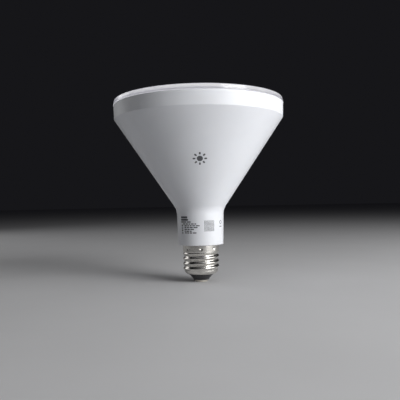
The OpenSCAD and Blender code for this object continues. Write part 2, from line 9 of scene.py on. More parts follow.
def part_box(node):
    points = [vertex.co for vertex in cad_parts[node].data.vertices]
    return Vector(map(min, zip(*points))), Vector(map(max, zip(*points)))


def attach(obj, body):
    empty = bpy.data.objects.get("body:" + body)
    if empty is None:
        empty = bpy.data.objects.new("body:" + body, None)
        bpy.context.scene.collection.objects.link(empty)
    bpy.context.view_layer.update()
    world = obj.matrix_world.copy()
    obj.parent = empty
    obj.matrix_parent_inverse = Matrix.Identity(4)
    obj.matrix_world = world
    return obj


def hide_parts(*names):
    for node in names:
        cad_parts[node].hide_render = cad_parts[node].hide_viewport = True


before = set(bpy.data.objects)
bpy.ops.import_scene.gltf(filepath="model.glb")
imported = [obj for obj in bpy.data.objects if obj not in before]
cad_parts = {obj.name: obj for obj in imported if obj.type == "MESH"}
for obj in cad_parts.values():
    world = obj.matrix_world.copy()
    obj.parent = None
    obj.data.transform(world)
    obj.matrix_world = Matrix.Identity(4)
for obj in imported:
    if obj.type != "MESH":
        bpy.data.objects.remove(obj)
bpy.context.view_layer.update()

# Lengths below are in millimetres, and MM turns them into the frame's metres.
MM = 0.001
BODY = "root"

# ---- Sizes, from the frame ----


def box_mm(node):
    """The lowest and highest corners of a CAD node, in millimetres."""
    low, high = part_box(node)
    return low / MM, high / MM


lens_low, lens_high = box_mm("diffuser_lens")
house_low, house_high = box_mm("housing")
shell_low, shell_high = box_mm("screw_shell")
glass_low, glass_high = box_mm("cap_insulator")
tip_high = box_mm("centre_contact")[1]

LENS_EDGE_H = 3.7
LENS_T = 2.0
LENS_CROWN = 0.8
BAND_H = 9.6
NECK_H = 25.4
NECK_R = 16.5
NECK_TOP_R = NECK_R + 0.6
NECK_BLEND = 11.0
BAND_BLEND = 1.0
WALL = 2.0
STUB_R = 11.5
STUB_BORE_R = 10.0

face_r = lens_high.x
rim_r = house_high.x
rim_z = house_high.z
edge_z = rim_z + LENS_EDGE_H
shoulder_z = shell_high.z + 0.1
cone_z = shoulder_z + NECK_H
band_z = rim_z - BAND_H
band_r = face_r - 0.5
mouth_r = face_r - 2.4

neck_lean = math.atan2(NECK_TOP_R - NECK_R, NECK_H)
cone_lean = math.atan2(band_r - NECK_TOP_R, band_z - cone_z)
band_lean = math.atan2(rim_r - band_r, BAND_H)

# ---- Outlines ----


def arc(centre, r, a, b, steps):
    """Points around an arc from angle a to angle b, in degrees."""
    points = []
    for i in range(steps + 1):
        t = math.radians(a + (b - a) * i / steps)
        points.append((centre[0] + r * math.cos(t), centre[1] + r * math.sin(t)))
    return points


def bend(corner, lean_a, lean_b, r, steps):
    """Points of a round bend at a corner between two lines that lean from upright."""
    turn = 1 if lean_b > lean_a else -1
    run = r * math.tan(abs(lean_b - lean_a) / 2)
    centre_r = corner[0] - run * math.sin(lean_a) + turn * r * math.cos(lean_a)
    centre_z = corner[1] - run * math.cos(lean_a) - turn * r * math.sin(lean_a)
    points = []
    for i in range(steps + 1):
        lean = lean_a + (lean_b - lean_a) * i / steps
        points.append((centre_r - turn * r * math.cos(lean), centre_z + turn * r * math.sin(lean)))
    return points


def line(a, b, steps):
    """Points between a and b, without the ends."""
    return [
        (a[0] + (b[0] - a[0]) * i / steps, a[1] + (b[1] - a[1]) * i / steps) for i in range(1, steps)
    ]


def inset_corner(corner, lean_a, lean_b, t):
    """Where a corner moves to when both its lines move inward by t."""
    k = t / (1 + math.cos(lean_b - lean_a))
    return (
        corner[0] - k * (math.cos(lean_a) + math.cos(lean_b)),
        corner[1] + k * (math.sin(lean_a) + math.sin(lean_b)),
    )


# ---- Meshes ----

SHARP_ANGLE = 30


def finish_mesh(name, bm, sharp=SHARP_ANGLE):
    """Turns a bmesh in millimetres into a smooth object in metres, with its hard edges marked."""
    bmesh.ops.remove_doubles(bm, verts=bm.verts, dist=1e-5)
    bmesh.ops.recalc_face_normals(bm, faces=bm.faces)
    mesh = bpy.data.meshes.new(name)
    bm.to_mesh(mesh)
    bm.free()
    mesh.transform(Matrix.Scale(MM, 4))
    mesh.shade_smooth()
    mesh.set_sharp_from_angle(angle=math.radians(sharp))
    piece = bpy.data.objects.new(name, mesh)
    bpy.context.scene.collection.objects.link(piece)
    return piece


def turned(name, profile_at, segments, closed=True, sharp=SHARP_ANGLE):
    """A piece turned around the lamp's axis: profile_at(angle) gives its (radius, height) points."""
    bm = bmesh.new()
    rings = []
    for k in range(segments):
        a = 2 * math.pi * k / segments
        rings.append([bm.verts.new((r * math.cos(a), r * math.sin(a), z)) for r, z in profile_at(a)])
    count = len(rings[0])
    last = count if closed else count - 1
    for k in range(segments):
        here, there = rings[k], rings[(k + 1) % segments]
        for i in range(last):
            j = (i + 1) % count
            bm.faces.new((here[i], there[i], there[j], here[j]))
    bmesh.ops.remove_doubles(bm, verts=bm.verts, dist=1e-4)
    bmesh.ops.dissolve_degenerate(bm, edges=bm.edges, dist=1e-5)
    return finish_mesh(name, bm, sharp)


def lathe(name, profile, segments=256, closed=True):
    """A piece turned from one (radius, height) profile."""
    return turned(name, lambda a: profile, segments, closed)


def dress(piece, slot_name, *nodes):
    """Rides a new piece on the lamp, in place of CAD nodes if any are named."""
    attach(piece, BODY)
    if nodes:
        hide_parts(*nodes)
    return piece


# ---- Materials ----


class Paint:
    """One procedural material. Its coordinates are millimetres in the frame."""

    def __init__(self, name, color, roughness=0.5, **inputs):
        self.mat = bpy.data.materials.new(name)
        self.mat.use_nodes = True
        self.tree = self.mat.node_tree
        self.bsdf = self.tree.nodes["Principled BSDF"]
        self.color = (*color, 1.0)
        self.bsdf.inputs["Base Color"].default_value = self.color
        self.bsdf.inputs["Roughness"].default_value = roughness
        for key, value in inputs.items():
            self.bsdf.inputs[key.replace("_", " ")].default_value = value
        place = self.add("ShaderNodeTexCoord")
        self.mm = self.vector("MULTIPLY", place.outputs["Object"], (1 / MM, 1 / MM, 1 / MM))
        self.normal = None

    def add(self, kind, **settings):
        node = self.tree.nodes.new(kind)
        for key, value in settings.items():
            setattr(node, key, value)
        return node

    def feed(self, socket, value):
        if isinstance(value, bpy.types.NodeSocket):
            self.tree.links.new(value, socket)
        else:
            socket.default_value = value

    def math(self, operation, *values):
        node = self.add("ShaderNodeMath", operation=operation)
        for socket, value in zip(node.inputs, values):
            self.feed(socket, value)
        return node.outputs[0]

    def vector(self, operation, *values):
        node = self.add("ShaderNodeVectorMath", operation=operation)
        for socket, value in zip(node.inputs, values):
            self.feed(socket, value)
        return node.outputs[1] if operation == "LENGTH" else node.outputs[0]

    def parts(self, vector=None):
        node = self.add("ShaderNodeSeparateXYZ")
        self.feed(node.inputs[0], vector or self.mm)
        return node.outputs

    def join(self, x=0.0, y=0.0, z=0.0):
        node = self.add("ShaderNodeCombineXYZ")
        for socket, value in zip(node.inputs, (x, y, z)):
            self.feed(socket, value)
        return node.outputs[0]

    def around(self):
        """Coordinates (angle in radians, radius, height) around the lamp's axis."""
        x, y, z = self.parts()
        angle = self.math("ARCTAN2", y, x)
        radius = self.vector("LENGTH", self.join(x, y))
        return self.join(angle, radius, z)

    def noise(self, size, detail=2.0, vector=None, stretch=(1, 1, 1)):
        """Noise with grains of about size millimetres."""
        node = self.add("ShaderNodeTexNoise")
        spread = self.vector("MULTIPLY", vector or self.mm, tuple(1 / s for s in stretch))
        self.feed(node.inputs["Vector"], spread)
        node.inputs["Scale"].default_value = 1 / size
        node.inputs["Detail"].default_value = detail
        return node.outputs["Fac"]

    def cells(self, size, vector=None):
        """Distance from the middle of each cell of about size millimetres."""
        node = self.add("ShaderNodeTexVoronoi")
        self.feed(node.inputs["Vector"], vector or self.mm)
        node.inputs["Scale"].default_value = 1 / size
        return node.outputs["Distance"]

    def spread(self, value, low, high, to_low, to_high):
        node = self.add("ShaderNodeMapRange")
        for socket, number in zip(node.inputs, (value, low, high, to_low, to_high)):
            self.feed(socket, number)
        return node.outputs[0]

    def mix(self, factor, a, b):
        node = self.add("ShaderNodeMix", data_type="RGBA")
        self.feed(node.inputs[0], factor)
        for socket, color in ((node.inputs[6], a), (node.inputs[7], b)):
            self.feed(socket, color if isinstance(color, bpy.types.NodeSocket) else (*color[:3], 1.0))
        return node.outputs[2]

    def paint(self, color):
        self.feed(self.bsdf.inputs["Base Color"], color)

    def rough(self, value, low, high):
        """Roughness from low to high as value goes over its middle range."""
        self.feed(self.bsdf.inputs["Roughness"], self.spread(value, 0.3, 0.7, low, high))

    def bump(self, height, depth):
        """Adds relief of about depth millimetres."""
        node = self.add("ShaderNodeBump")
        node.inputs["Distance"].default_value = depth * MM
        self.feed(node.inputs["Height"], height)
        if self.normal:
            self.feed(node.inputs["Normal"], self.normal)
        self.normal = node.outputs[0]
        self.feed(self.bsdf.inputs["Normal"], self.normal)

    def tone(self, value, amount):
        """The paint's own colour, made lighter and darker by amount as value varies."""
        dark = tuple(c * (1 - amount) for c in self.color[:3])
        light = tuple(min(1.0, c * (1 + amount)) for c in self.color[:3])
        return self.mix(self.spread(value, 0.3, 0.7, 0, 1), dark, light)


def moulded(name, color, roughness=0.4, grain=0.25, depth=0.004, mottle=0.03, gloss=0.05, **inputs):
    """Moulded plastic: a fine spark-eroded grain, slow flow marks and a faint unevenness of gloss."""
    p = Paint(name, color, roughness, **inputs)
    slow = p.noise(14, 3)
    p.paint(p.tone(slow, mottle))
    p.rough(p.noise(9, 2), roughness - gloss, roughness + gloss)
    p.bump(p.noise(grain, 3), depth)
    return p


def plated(name, color, roughness=0.28, streak=(40, 40, 0.4), depth=0.002, stain=0.08):
    """Plated or rolled metal with fine streaks and faint stains."""
    p = Paint(name, color, roughness, Metallic=1.0)
    p.paint(p.tone(p.noise(6, 4), stain))
    lines = p.noise(1, 3, stretch=streak)
    p.rough(lines, roughness - 0.07, roughness + 0.08)
    p.bump(lines, depth)
    return p


def turned_metal(name, color, roughness=0.3, ring=0.18, depth=0.003, stain=0.06):
    """Metal turned or spun around the lamp's axis, with fine rings."""
    p = Paint(name, color, roughness, Metallic=1.0)
    around = p.around()
    rings = p.noise(ring, 3, vector=around, stretch=(6, 1, 1))
    p.paint(p.tone(p.noise(5, 4), stain))
    p.rough(rings, roughness - 0.06, roughness + 0.08)
    p.bump(rings, depth)
    return p


def cast_metal(name, color, roughness=0.5):
    """Die-cast metal: a pebbled skin with flow marks."""
    p = Paint(name, color, roughness, Metallic=1.0)
    p.paint(p.tone(p.noise(9, 5), 0.12))
    p.rough(p.noise(2.5, 4), roughness - 0.08, roughness + 0.1)
    p.bump(p.cells(0.5), 0.012)
    p.bump(p.noise(6, 3), 0.03)
    return p


def board(name, color, trace, across, along, mask_gloss=0.32):
    """A circuit board: solder mask over runs of track and vias. across and along pick its two axes."""
    p = Paint(name, color, mask_gloss)
    xyz = p.parts()
    u, v = xyz[across], xyz[along]
    pitch, run = 0.8, 4.2

    def tracks(a, b):
        row = p.math("FLOOR", p.math("DIVIDE", b, pitch))
        column = p.math("FLOOR", p.math("DIVIDE", a, run))
        chance = p.add("ShaderNodeTexWhiteNoise", noise_dimensions="2D")
        p.feed(chance.inputs["Vector"], p.join(row, column))
        on = p.math("GREATER_THAN", chance.outputs["Value"], 0.55)
        place = p.math("FRACT", p.math("DIVIDE", b, pitch))
        line_on = p.math("LESS_THAN", p.math("ABSOLUTE", p.math("SUBTRACT", place, 0.5)), 0.22)
        return p.math("MULTIPLY", on, line_on)

    copper = p.math("MAXIMUM", tracks(u, v), tracks(v, u))
    flat = p.join(u, v)
    vias = p.math("LESS_THAN", p.cells(3.1, flat), 0.1)
    shade = p.tone(p.noise(4, 3), 0.06)
    p.paint(p.mix(vias, p.mix(p.math("MULTIPLY", copper, 0.75), shade, trace), (0.55, 0.5, 0.36)))
    p.rough(p.noise(1.2, 3), mask_gloss - 0.06, mask_gloss + 0.08)
    p.bump(p.math("SUBTRACT", copper, vias), 0.035)
    p.bump(p.noise(0.35, 2), 0.004)
    return p


def white_housing(name, roughness, grain, depth):
    """White plastic of the housing, which light enters a little way."""
    return moulded(name, (0.79, 0.805, 0.84), roughness, grain, depth, mottle=0.012, gloss=0.012, IOR=1.53,
                   Subsurface_Weight=0.12, Subsurface_Radius=(1.0, 0.9, 0.8), Subsurface_Scale=0.0012)


def opal_lens():
    """Opal plastic that light spreads through, with a faint emission that is a painted glow standing in for
    light carried through the lens.
    """
    # The Emission Color and Emission Strength below are a painted glow, since the lamp is off; they even out
    # the light on the lens's edge.
    p = Paint("opal_lens", (0.9, 0.895, 0.955), 0.14, Subsurface_Weight=1.0,
              Subsurface_Radius=(1.0, 1.0, 1.0), Subsurface_Scale=0.15, IOR=1.49,
              Emission_Color=(0.9, 0.895, 1.0, 1.0), Emission_Strength=0.16)
    p.paint(p.tone(p.noise(20, 3), 0.008))
    p.rough(p.noise(4, 4), 0.1, 0.18)
    p.bump(p.noise(0.25, 2), 0.001)
    return p


def ink():
    """Pad-printed grey ink, a little uneven, with small pinholes."""
    p = Paint("grey_ink", (0.085, 0.087, 0.095), 0.45)
    pinholes = p.spread(p.noise(0.18, 3), 0.62, 0.74, 0, 0.5)
    p.paint(p.mix(pinholes, p.tone(p.noise(0.8, 3), 0.15), (0.3, 0.3, 0.32)))
    p.rough(p.noise(0.5, 3), 0.38, 0.55)
    p.bump(p.noise(0.12, 2), 0.003)
    return p


def emitter(name, body, window, split_z):
    """A light emitter: its moulded body up to height split_z, and its window above."""
    p = Paint(name, body, 0.35, Coat_Weight=0.3)
    z = p.parts()[2]
    above = p.math("GREATER_THAN", z, split_z)
    grains = p.mix(p.spread(p.cells(0.12), 0.2, 0.5, 0, 0.35), window, tuple(c * 0.7 for c in window))
    p.paint(p.mix(above, p.tone(p.noise(0.5, 2), 0.05), grains))
    p.rough(p.noise(0.4, 3), 0.25, 0.45)
    p.bump(p.noise(0.1, 2), 0.004)
    return p


def dome(name, die, split_z):
    """A colour emitter: a white base, and over it a clear dome with its die showing through."""
    p = Paint(name, (0.82, 0.82, 0.8), 0.25, Coat_Weight=1.0)
    z = p.parts()[2]
    above = p.math("GREATER_THAN", z, split_z)
    base = p.tone(p.noise(0.6, 2), 0.06)
    p.paint(p.mix(above, base, p.mix(p.noise(0.5, 3), die, tuple(c * 0.55 for c in die))))
    p.rough(p.noise(0.5, 2), 0.12, 0.3)
    p.bump(p.noise(0.3, 2), 0.003)
    return p


def can_sleeve(node, axis, end):
    """A capacitor's printed sleeve with a pale stripe, and bare aluminium on its end."""
    low, high = box_mm(node)
    p = Paint("capacitor_sleeve_" + node, (0.03, 0.04, 0.1), 0.3)
    place = p.parts()[axis]
    edge = high[axis] - 0.25 if end > 0 else low[axis] + 0.25
    bare = p.math("GREATER_THAN" if end > 0 else "LESS_THAN", place, edge)
    stripes = p.math("GREATER_THAN", p.math("FRACT", p.math("DIVIDE", p.parts()[0], 9.8)), 0.82)
    sleeve = p.mix(stripes, p.tone(p.noise(2, 3), 0.2), (0.5, 0.52, 0.56))
    p.paint(p.mix(bare, sleeve, (0.75, 0.75, 0.76)))
    p.feed(p.bsdf.inputs["Metallic"], bare)
    p.rough(p.noise(1.5, 3), 0.22, 0.4)
    p.bump(p.noise(1.2, 3), 0.03)
    return p


def ferrite():
    """Dark, grainy fired ferrite."""
    p = Paint("ferrite", (0.055, 0.055, 0.06), 0.55)
    p.paint(p.tone(p.noise(0.5, 4), 0.35))
    p.rough(p.noise(0.8, 4), 0.42, 0.7)
    p.bump(p.cells(0.35), 0.02)
    return p


def windings(name, color, axis, pitch, roughness=0.3):
    """Turns of tape laid side by side along an axis, with painted shade darkening the grooves between turns.
    """
    p = Paint(name, color, roughness, Coat_Weight=0.4)
    place = p.math("FRACT", p.math("DIVIDE", p.parts()[axis], pitch))
    crown = p.math("SINE", p.math("MULTIPLY", place, math.pi))
    # Painted shade: the colour darkens towards the grooves between turns, where the crown dips.
    painted_groove_shade = p.spread(crown, 0, 0.6, 0.35, 1)
    p.paint(p.mix(painted_groove_shade, tuple(c * 0.3 for c in color), p.tone(p.noise(1.2, 3), 0.1)))
    p.rough(p.noise(0.6, 3), roughness - 0.08, roughness + 0.1)
    p.bump(crown, pitch * 0.35)
    return p


def lacquer(name, color, roughness=0.25, pit=0.5):
    """A dipped or lacquered part: glossy, with slow waves and small pits."""
    p = Paint(name, color, roughness, Coat_Weight=0.5)
    p.paint(p.tone(p.noise(1.5, 3), 0.12))
    p.rough(p.noise(1, 3), roughness - 0.06, roughness + 0.12)
    p.bump(p.noise(2, 2), 0.06)
    p.bump(p.cells(pit), 0.01)
    return p


def soft_pad():
    """A soft, filled thermal pad."""
    p = Paint("thermal_pad", (0.5, 0.58, 0.68), 0.7)
    p.paint(p.mix(p.spread(p.cells(0.3), 0.1, 0.3, 0.4, 0), p.tone(p.noise(3, 3), 0.08), (0.8, 0.84, 0.88)))
    p.rough(p.noise(1, 3), 0.6, 0.85)
    p.bump(p.noise(0.4, 3), 0.02)
    return p


def chip_ends():
    """Small ceramic chips, with tin at their ends."""
    p = Paint("chip_ceramic", (0.42, 0.3, 0.2), 0.4)
    speck = p.math("GREATER_THAN", p.noise(0.7, 2), 0.56)
    p.paint(p.mix(speck, p.tone(p.noise(0.3, 3), 0.2), (0.7, 0.7, 0.7)))
    p.feed(p.bsdf.inputs["Metallic"], speck)
    p.rough(p.noise(0.3, 2), 0.28, 0.5)
    p.bump(p.noise(0.15, 2), 0.01)
    return p


EMITTER_BODY_H = 0.69
DOME_BASE_H = 0.59
EMITTER_WHITE = (0.82, 0.82, 0.79)
SCREW_STEEL = (0.5, 0.52, 0.56)
CASE_WHITE = (0.78, 0.77, 0.72)
CONNECTOR_BLACK = (0.03, 0.03, 0.032)
CHIP_BLACK = (0.03, 0.03, 0.033)
PIN_GOLD = (0.85, 0.62, 0.24)

emitter_z = box_mm("led_board")[1].z + EMITTER_BODY_H
dome_z = box_mm("led_board")[1].z + DOME_BASE_H


def screw_steel(name):
    """Plated steel of the small screws."""
    return plated(name, SCREW_STEEL, 0.3, streak=(1, 1, 3))


def case_plastic(name):
    """White plastic of the driver's case."""
    return moulded(name, CASE_WHITE, 0.5, grain=0.2, depth=0.01, mottle=0.05)


def connector(name):
    """Black plastic of headers and sockets."""
    return moulded(name, CONNECTOR_BLACK, 0.45, grain=0.12, depth=0.006, mottle=0.15)


def epoxy(name, color=CHIP_BLACK):
    """Black epoxy of chips."""
    return moulded(name, color, 0.5, grain=0.1, depth=0.008, mottle=0.2)


def gold_pin(name):
    """Gold-plated header pins."""
    return plated(name, PIN_GOLD, 0.25, streak=(1, 1, 20))


node_paints = {
    "heat_sink": cast_metal("cast_aluminium", (0.62, 0.63, 0.65)),
    "heat_spreader": plated("sheet_aluminium", (0.72, 0.73, 0.75), 0.34, streak=(30, 0.6, 1)),
    "spreader_screws": screw_steel("screw_steel"),
    "thermal_pad": soft_pad(),
    "led_board": board("white_board", (0.83, 0.83, 0.81), (0.74, 0.74, 0.71), 0, 1, 0.4),
    "led_board_screws": screw_steel("board_screw_steel"),
    "warm_white_leds": emitter("warm_emitter", EMITTER_WHITE, (0.9, 0.56, 0.1), emitter_z),
    "cool_white_leds": emitter("cool_emitter", EMITTER_WHITE, (0.88, 0.78, 0.2), emitter_z),
    "red_leds": dome("red_emitter", (0.75, 0.12, 0.08), dome_z),
    "green_leds": dome("green_emitter", (0.1, 0.55, 0.18), dome_z),
    "blue_leds": dome("blue_emitter", (0.08, 0.2, 0.75), dome_z),
    "led_socket": connector("socket_plastic"),
    "reflector": moulded("white_reflector", (0.9, 0.9, 0.89), 0.22, grain=0.5, depth=0.003, mottle=0.02),
    "lens_glue_bead": lacquer("glue", (0.75, 0.76, 0.78), 0.3, 0.8),
    "driver_case": case_plastic("white_case"),
    "driver_case_lid": case_plastic("white_lid"),
    "driver_board": board("green_board", (0.015, 0.15, 0.055), (0.05, 0.3, 0.12), 0, 2),
    "fuse_resistor": lacquer("green_resistor", (0.16, 0.34, 0.24)),
    "varistor": lacquer("blue_varistor", (0.05, 0.13, 0.4)),
    "inductor_core": ferrite(),
    "inductor_coil": plated("enamelled_copper", (0.72, 0.3, 0.12), 0.25, streak=(1, 1, 1)),
    "film_capacitor": moulded("yellow_capacitor", (0.8, 0.52, 0.05), 0.3, 0.15, depth=0.006, mottle=0.08),
    "bridge_rectifier": epoxy("rectifier_epoxy", (0.035, 0.035, 0.038)),
    "bulk_capacitors": can_sleeve("bulk_capacitors", 2, 1),
    "transformer_core": ferrite(),
    "transformer_bobbin": moulded("bobbin_plastic", (0.62, 0.52, 0.33), 0.45, 0.2, depth=0.008, mottle=0.08),
    "transformer_winding": windings("winding_tape", (0.82, 0.5, 0.06), axis=2, pitch=2.9),
    "output_capacitors": can_sleeve("output_capacitors", 1, -1),
    "channel_inductors": cast_metal("moulded_inductor", (0.1, 0.1, 0.11), 0.6),
    "driver_chips": epoxy("chip_black"),
    "chip_passives": chip_ends(),
    "solder_joints": plated("solder", (0.7, 0.71, 0.73), 0.22, streak=(1, 1, 1), stain=0.15),
    "led_header": connector("header_plastic"),
    "led_header_pins": gold_pin("gold_pin"),
    "radio_header": connector("radio_header_plastic"),
    "radio_header_pins": gold_pin("radio_gold_pin"),
    "radio_board": board("radio_board", (0.012, 0.04, 0.15), (0.04, 0.1, 0.3), 0, 2),
    "radio_chips": epoxy("radio_chip_black"),
    "radio_shield": plated("shield_steel", (0.68, 0.68, 0.69), 0.3, streak=(20, 1, 0.5)),
    "antenna": plated("antenna_copper", (0.85, 0.6, 0.25), 0.3, streak=(3, 1, 1)),
    "live_wire": lacquer("red_wire", (0.5, 0.02, 0.02), 0.35, 1.5),
    "neutral_wire": lacquer("black_wire", (0.02, 0.02, 0.022), 0.35, 1.5),
}
for node, paint in node_paints.items():
    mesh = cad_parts[node].data
    mesh.materials.clear()
    mesh.materials.append(paint.mat)

# ---- Housing ----

FILLET = 0.5
RIM_CHAMFER = 0.25
CRIMP_Z = shoulder_z - 2.6
BEAD_R = mouth_r + 1
GROOVE_R = mouth_r + 0.6
GROOVE_Z = rim_z - 4.1
GROOVE_H = 1.8
FLOOR_T = 2
WIRE_SLOT = (3, 1.6, 8)


def housing_profile():
    """The housing's section, up the outside and down the inside, and where its neck and band start."""
    low, high = (NECK_TOP_R, cone_z), (band_r, band_z)
    cone_foot = bend(low, neck_lean, cone_lean, NECK_BLEND, 24)
    crease = bend(high, cone_lean, band_lean, BAND_BLEND, 10)
    outside = [(STUB_BORE_R, house_low.z), (STUB_R, house_low.z), (STUB_R, CRIMP_Z - 1)]
    outside += [(STUB_R - 0.6, CRIMP_Z - 0.5), (STUB_R - 0.6, CRIMP_Z + 0.5), (STUB_R, CRIMP_Z + 1)]
    outside += [(STUB_R, shoulder_z)]
    skin_start = len(outside)
    outside += arc((NECK_R - FILLET, shoulder_z + FILLET), FILLET, -90, 0, 8)
    outside += line(outside[-1], cone_foot[0], 8) + cone_foot
    outside += line(cone_foot[-1], crease[0], 24) + crease
    band_start = len(outside) - len(crease) // 2
    edge = (rim_r, rim_z - RIM_CHAMFER)
    outside += line(crease[-1], edge, 6) + [edge, (rim_r - 0.06, rim_z - 0.09), (rim_r - 0.2, rim_z)]
    inner_low = inset_corner(low, neck_lean, cone_lean, WALL)
    cone_foot_in = bend(inner_low, neck_lean, cone_lean, NECK_BLEND + WALL, 24)
    mouth_z = cone_z + (mouth_r + WALL / math.cos(cone_lean) - NECK_TOP_R) / math.tan(cone_lean)
    inside = [(BEAD_R, rim_z), (BEAD_R, rim_z - 1), (mouth_r, rim_z - 1)]
    inside += [(mouth_r, GROOVE_Z + GROOVE_H / 2), (GROOVE_R, GROOVE_Z + GROOVE_H / 2 - 0.3)]
    inside += [(GROOVE_R, GROOVE_Z - GROOVE_H / 2 + 0.3), (mouth_r, GROOVE_Z - GROOVE_H / 2)]
    inside += [(mouth_r, mouth_z)] + cone_foot_in[::-1]
    floor_z = shoulder_z + FLOOR_T
    inside += [(NECK_R - WALL, floor_z), (STUB_BORE_R, floor_z)]
    return outside + inside, skin_start, band_start


def cut_wire_slot(piece):
    """Cuts the slot for the neutral wire's bared end into the stub."""
    bm = bmesh.new()
    bmesh.ops.create_cube(bm, size=1, matrix=Matrix.Diagonal((*WIRE_SLOT, 1)))
    middle = (STUB_BORE_R - 1 + WIRE_SLOT[0] / 2, 0, house_low.z - 1 + WIRE_SLOT[2] / 2)
    bmesh.ops.translate(bm, verts=bm.verts, vec=middle)
    slot = finish_mesh("slot", bm)
    cut = piece.modifiers.new("slot", "BOOLEAN")
    cut.operation = "DIFFERENCE"
    cut.object = slot
    mesh = bpy.data.meshes.new_from_object(piece.evaluated_get(bpy.context.evaluated_depsgraph_get()))
    piece.modifiers.clear()
    piece.data = mesh
    mesh.set_sharp_from_angle(angle=math.radians(SHARP_ANGLE))
    bpy.data.objects.remove(slot)


profile, skin_start, band_start = housing_profile()
band_low_z = profile[band_start][1] * MM
housing = lathe("housing_shell", profile, 256)
cut_wire_slot(housing)
housing.data.materials.append(white_housing("white_housing", 0.32, 0.3, 0.0025).mat)
housing.data.materials.append(white_housing("white_band", 0.5, 0.6, 0.001).mat)
for face in housing.data.polygons:
    if face.center.z > band_low_z:
        face.material_index = 1
dress(housing, "white_housing", "housing")

# ---- Lens ----


def lens_profile():
    """The lens's section: crowned face, round edge, skirt and inner face."""
    crown_r = (face_r**2 + LENS_CROWN**2) / (2 * LENS_CROWN)
    crown_z = edge_z + LENS_CROWN - crown_r
    edge_r = 0.8
    foot_r = 0.25
    lead_in = 0.3
    inner_r = 1
    steps = 16
    top_r = face_r - 0.5
    skirt_r = mouth_r - 0.2
    skirt_in_r = skirt_r - 1.5

    def face(r_end, radius):
        end = math.asin(r_end / radius)
        turns = [end * i / steps for i in range(steps + 1)]
        return [(radius * math.sin(t), crown_z + radius * math.cos(t)) for t in turns]

    points = face(top_r - edge_r, crown_r)[:-1]
    points += arc((top_r - edge_r, edge_z - edge_r), edge_r, 89, 11, 12)
    points += line(points[-1], (face_r, rim_z + 0.3), 4)
    points += arc((face_r - foot_r, rim_z + foot_r), foot_r, 0, -90, 5)
    points += [(skirt_r, rim_z), (skirt_r, lens_low.z + lead_in)]
    points += [(skirt_r - lead_in, lens_low.z), (skirt_in_r, lens_low.z)]
    points += arc((skirt_in_r - inner_r, edge_z - LENS_T - inner_r), inner_r, 0, 89, 8)
    return points + face(skirt_in_r - inner_r, crown_r - LENS_T)[::-1][1:]


lens = lathe("opal_lens", lens_profile(), 256, closed=False)
lens.data.materials.append(opal_lens().mat)
dress(lens, "opal_lens", "diffuser_lens")

# ---- Screw cap ----

CREST_R = shell_high.x
ROOT_R = CREST_R - 1
PITCH = 3.62
SHELL_T = 0.35
SHELL_ROUND = 2.5
LIP_R = 9.2
LAND_Z = shoulder_z - 4.8
THREAD_Z = shell_low.z + 2
DIMPLES = 8


def ease(x, a, b):
    """A smooth step from 0 to 1 as x goes from a to b."""
    t = min(max((x - a) / (b - a), 0), 1)
    return t * t * (3 - 2 * t)


def thread_lift(z, angle):
    """How far the shell stands out from its root radius."""
    wave = 0.5 - 0.5 * math.cos(2 * math.pi * (z - shell_low.z) / PITCH - angle)
    start = ease(z, THREAD_Z, THREAD_Z + 2)
    land = ease(z, LAND_Z - 1.2, LAND_Z)
    return (CREST_R - ROOT_R) * start * (wave * (1 - land) + land)


def dimple(z, angle):
    """Depth of the punched dimples that fix the shell to the housing."""
    step = 2 * math.pi / DIMPLES
    off = (angle / step - round(angle / step)) * step * CREST_R
    return 0.7 * math.exp(-((off**2 + (z - CRIMP_Z) ** 2) / 0.45))


def shell_section(angle):
    """The shell's thin section at an angle: up the outside, over the top and down the inside."""
    centre = (ROOT_R - SHELL_ROUND, shell_low.z + SHELL_ROUND)
    rows = 110
    base_z = shell_low.z + SHELL_ROUND
    heights = [base_z + (shell_high.z - base_z) * i / rows for i in range(1, rows + 1)]
    walls = [(ROOT_R + thread_lift(z, angle) - dimple(z, angle), z) for z in heights]
    outside = [(LIP_R, shell_low.z)] + arc(centre, SHELL_ROUND, -90, 0, 10)[:-1]
    outside += [(ROOT_R + thread_lift(base_z, angle), base_z)] + walls
    inside = [(r - SHELL_T, z) for r, z in reversed(walls)]
    inside += arc(centre, SHELL_ROUND - SHELL_T, 0, -90, 10) + [(LIP_R, shell_low.z + SHELL_T)]
    return outside + inside


shell = turned("cap_thread", shell_section, 216, sharp=50)
shell_paint = turned_metal("shell_metal", (0.72, 0.7, 0.66), 0.24, ring=0.12, depth=0.0015, stain=0.1)
shell.data.materials.append(shell_paint.mat)
dress(shell, "shell_metal", "screw_shell")


def insulator_profile():
    """The insulator's section, with a raised ring around its cone."""
    bore_r = 1.22
    seat_h = 1.2
    contact_edge = tip_high.x + 0.5
    lip = LIP_R - 0.1
    top = glass_high.z
    points = [(bore_r, glass_low.z), (contact_edge, glass_low.z)]
    points += arc((contact_edge, glass_low.z + 0.4), 0.4, -80, -40, 4)
    ring = [(6.6, 1.75), (6.8, 1.7), (7.3, 2.2), (7.35, 2.5)]
    points += [(r, glass_low.z + rise) for r, rise in ring]
    points += [(lip - 0.4, shell_low.z - 0.7), (lip, shell_low.z - 0.3)]
    centre = (ROOT_R - SHELL_ROUND, shell_low.z + SHELL_ROUND)
    points += [(lip, centre[1] - SHELL_ROUND + 0.6)]
    points += arc(centre, SHELL_ROUND - 0.6, -90, 0, 8)
    plug_r = STUB_BORE_R - 0.4
    return points + [(STUB_R, top - seat_h), (plug_r, top - seat_h), (plug_r, top), (bore_r, top)]


insulator = lathe("cap_insulator_ring", insulator_profile(), 160)
insulator.data.materials.append(
    moulded("black_insulator", (0.022, 0.022, 0.025), 0.22, grain=0.4, depth=0.003, mottle=0.2).mat
)
dress(insulator, "black_insulator", "cap_insulator")


